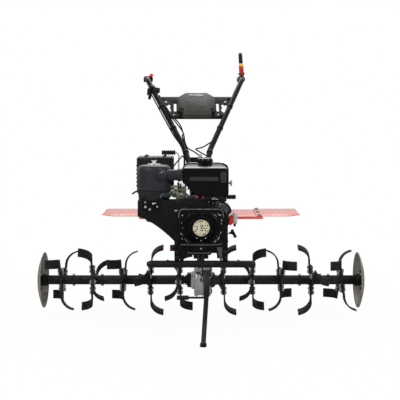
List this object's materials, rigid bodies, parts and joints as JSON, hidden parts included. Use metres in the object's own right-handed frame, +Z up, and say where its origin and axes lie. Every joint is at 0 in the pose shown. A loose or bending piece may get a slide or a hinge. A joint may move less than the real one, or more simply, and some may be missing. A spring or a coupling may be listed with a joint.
{
  "type": "walk-behind tiller",
  "caption": "Walk-behind motor tiller with a wide rotor of curved tines between guard discs, petrol engine, mudguards, folding front stand and a V handlebar.",
  "frame": {"origin": "on the floor, under the middle of the bounding box", "axes": "-Y is the machine's front, where the engine is; +X is to the right seen from the front; +Z is up"},
  "size_m": [1.386, 1.3752, 1.1467],
  "materials": {
    "black_paint": "satin black paint",
    "gloss_black": "gloss black enamel",
    "tine_paint": "gloss black paint, worn at the edges",
    "red_paint": "gloss red paint",
    "cast_aluminium": "bare casting",
    "engine_casting": "black painted casting",
    "black_plastic": "moulded black plastic",
    "grip_rubber": "matt rubber",
    "steel": "bare steel",
    "zinc": "yellow zinc plate",
    "cast_zinc": "die casting with brass fittings",
    "red_plastic": "moulded red plastic",
    "panel_plastic": "moulded dark grey plastic",
    "panel_steel": "dark grey paint"
  },
  "bodies": {
    "chassis": {"gearbox": "cast_aluminium", "axle_cover_left": "black_paint", "axle_cover_right": "black_paint", "clutch_housing": "cast_aluminium", "crankcase": "engine_casting", "cylinder": "engine_casting", "blower_housing": "black_paint", "starter_cover": "black_plastic", "starter_screen": "zinc", "starter_grip": "black_plastic", "fuel_tank": "gloss_black", "fuel_cap": "black_plastic", "air_cleaner_bowl": "black_plastic", "air_cleaner_lid": "black_plastic", "air_snorkel": "black_plastic", "carburettor": "cast_zinc", "muffler": "black_paint", "muffler_shield": "black_paint", "engine_switch": "red_plastic", "oil_filler": "black_plastic", "engine_frame": "black_paint", "bumper_bar": "black_paint", "guard_post_left": "black_paint", "guard_post_right": "black_paint", "guard_bar": "black_paint", "guard_top": "black_paint", "mudguard_left": "red_paint", "mudguard_right": "red_paint", "mudguard_wing_left": "red_paint", "mudguard_wing_right": "red_paint", "gear_lever": "black_paint", "reverse_lever": "black_paint", "hitch": "black_paint", "swivel_base": "black_paint", "engine_cables": "black_plastic"},
    "rotor": {"tine_gang_left_inner": "tine_paint", "tine_gang_left_outer": "tine_paint", "tine_gang_right_inner": "tine_paint", "tine_gang_right_outer": "tine_paint", "guard_disc_left": "gloss_black", "guard_disc_right": "gloss_black", "drive_axle": "steel"},
    "stand": {"stand_leg": "black_paint"},
    "turntable": {"swivel_head": "black_paint", "column_cables": "black_plastic"},
    "handlebar": {"handle_bracket": "black_paint", "handle_tube_left": "black_paint", "handle_tube_right": "black_paint", "grip_left": "grip_rubber", "grip_right": "grip_rubber", "panel_plate": "panel_steel", "panel_cover": "panel_plastic", "clutch_lever": "red_paint", "throttle_lever": "black_plastic", "stop_switch": "black_plastic", "handle_cables": "black_plastic"}
  },
  "joints": [
    {"name": "rotor_spin", "type": "hinge", "parent": "chassis", "child": "rotor", "pos_m": [0, -0.13056, 0.1477], "axis": [1, 0, 0], "continuous": true},
    {"name": "stand_fold", "type": "hinge", "parent": "chassis", "child": "stand", "pos_m": [0.02, -0.57656, 0.256], "axis": [1, 0, 0], "range_deg": [0, 105]},
    {"name": "handlebar_swivel", "type": "hinge", "parent": "chassis", "child": "turntable", "pos_m": [-0.009, -0.07456, 0.488], "axis": [0, 0, 1], "range_deg": [-28, 22], "deforming": ["engine_cables"]},
    {"name": "handlebar_tilt", "type": "hinge", "parent": "turntable", "child": "handlebar", "pos_m": [-0.00956, -0.05857, 0.574], "axis": [0.9994, 0.0349, 0], "range_deg": [-18, 18], "deforming": ["column_cables"]}
  ]
}
